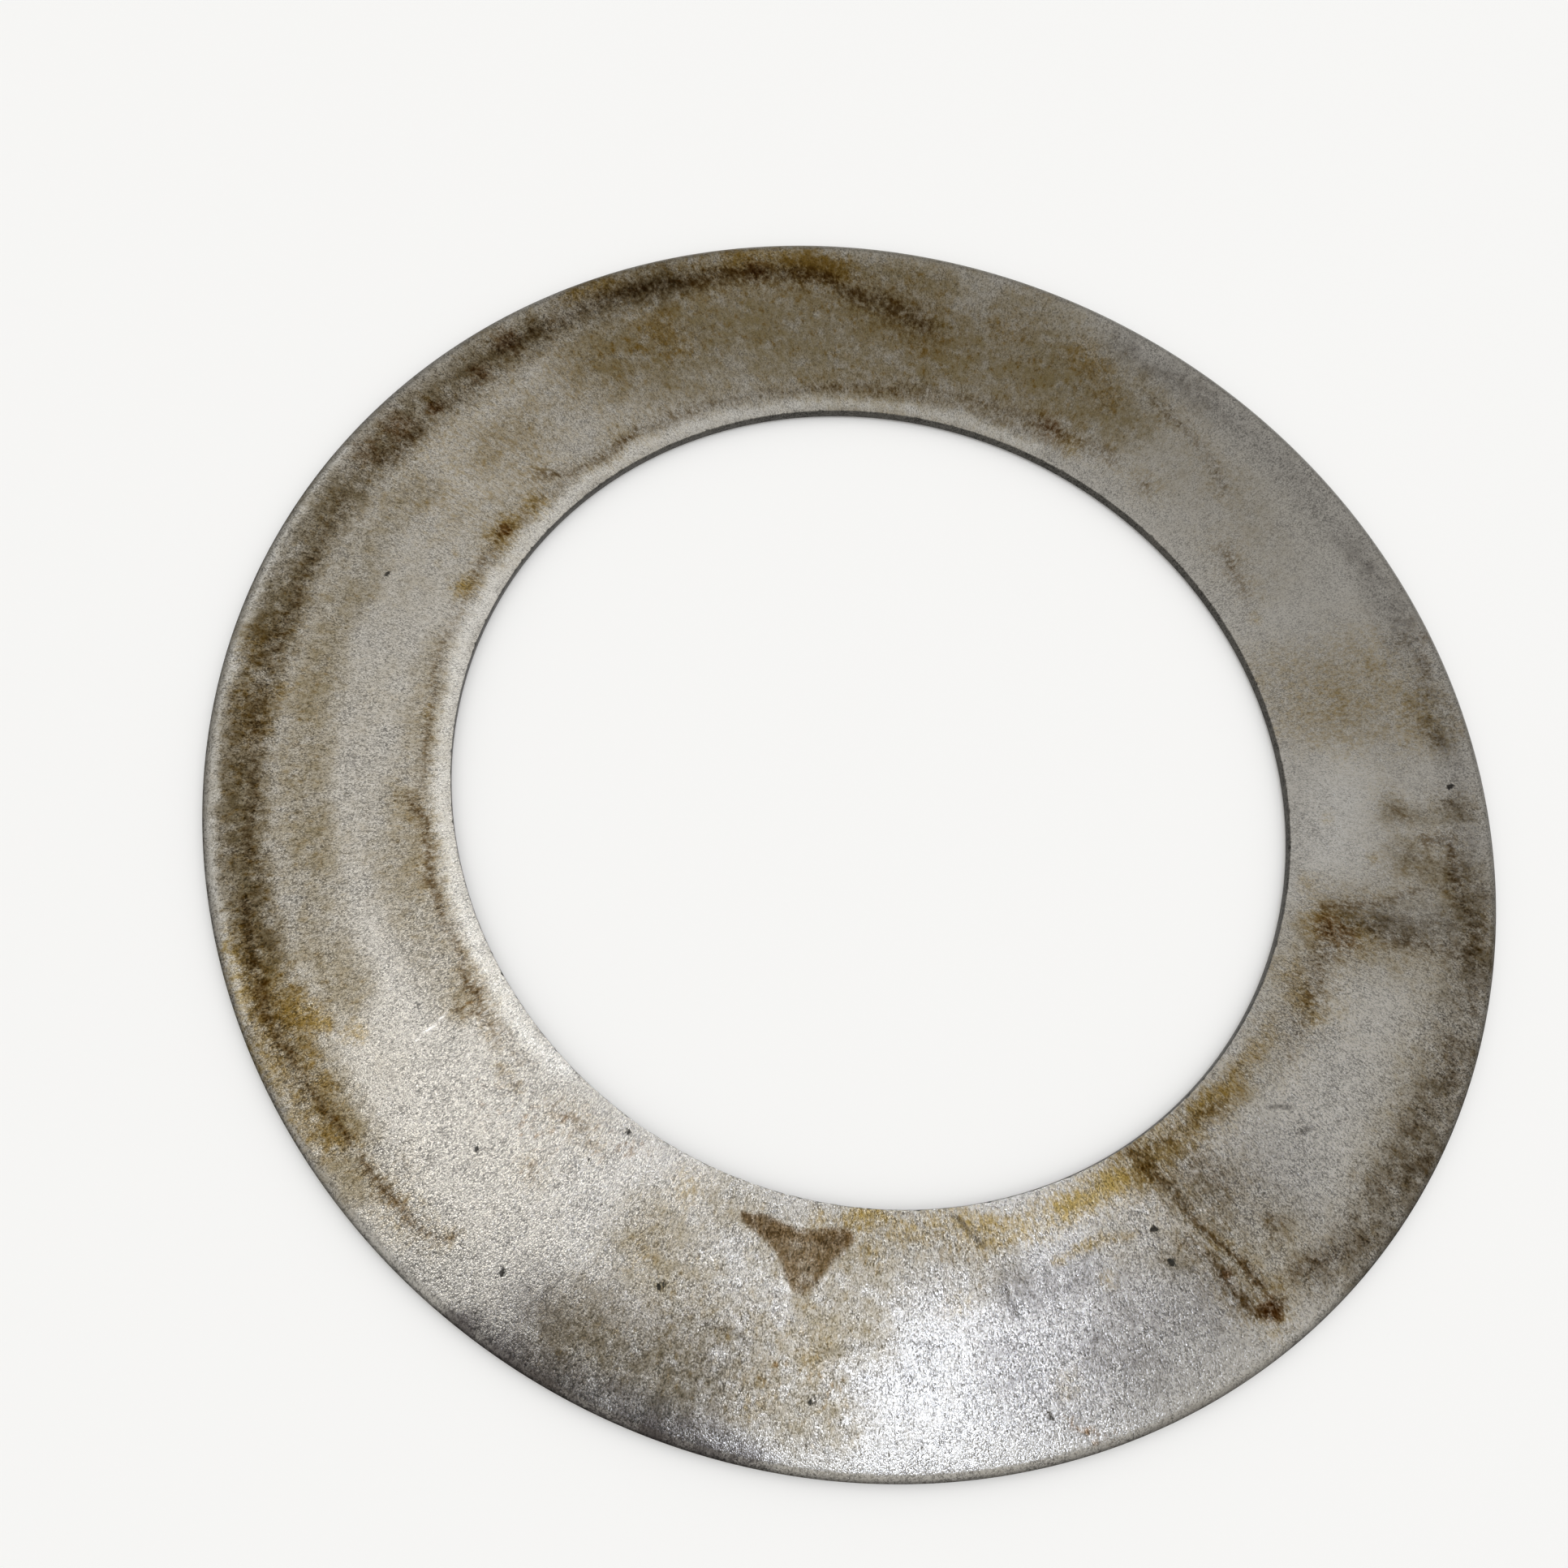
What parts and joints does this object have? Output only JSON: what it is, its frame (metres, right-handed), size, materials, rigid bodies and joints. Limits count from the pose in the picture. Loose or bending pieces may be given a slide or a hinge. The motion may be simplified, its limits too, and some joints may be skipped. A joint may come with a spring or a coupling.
{
  "type": "shim washer",
  "caption": "Flat ring shim stamped from thin steel sheet, slid over a shaft to take up end play, with a rolled rim edge, a sharp bore edge and oil-stained faces.",
  "frame": {"origin": "centre of the bore, on the plane of the underside", "axes": "+Z along the bore's axis, out of the upper face; X and Y lie in the face, which is round, so their direction is free"},
  "size_m": [0.0998, 0.0998, 0.001],
  "materials": {
    "cold_rolled_steel": "matt cold-rolled sheet with a fine grain, tarnished and stained by old oil and light rust"
  },
  "bodies": {
    "root": {"shim_washer": "cold_rolled_steel"}
  },
  "joints": []
}
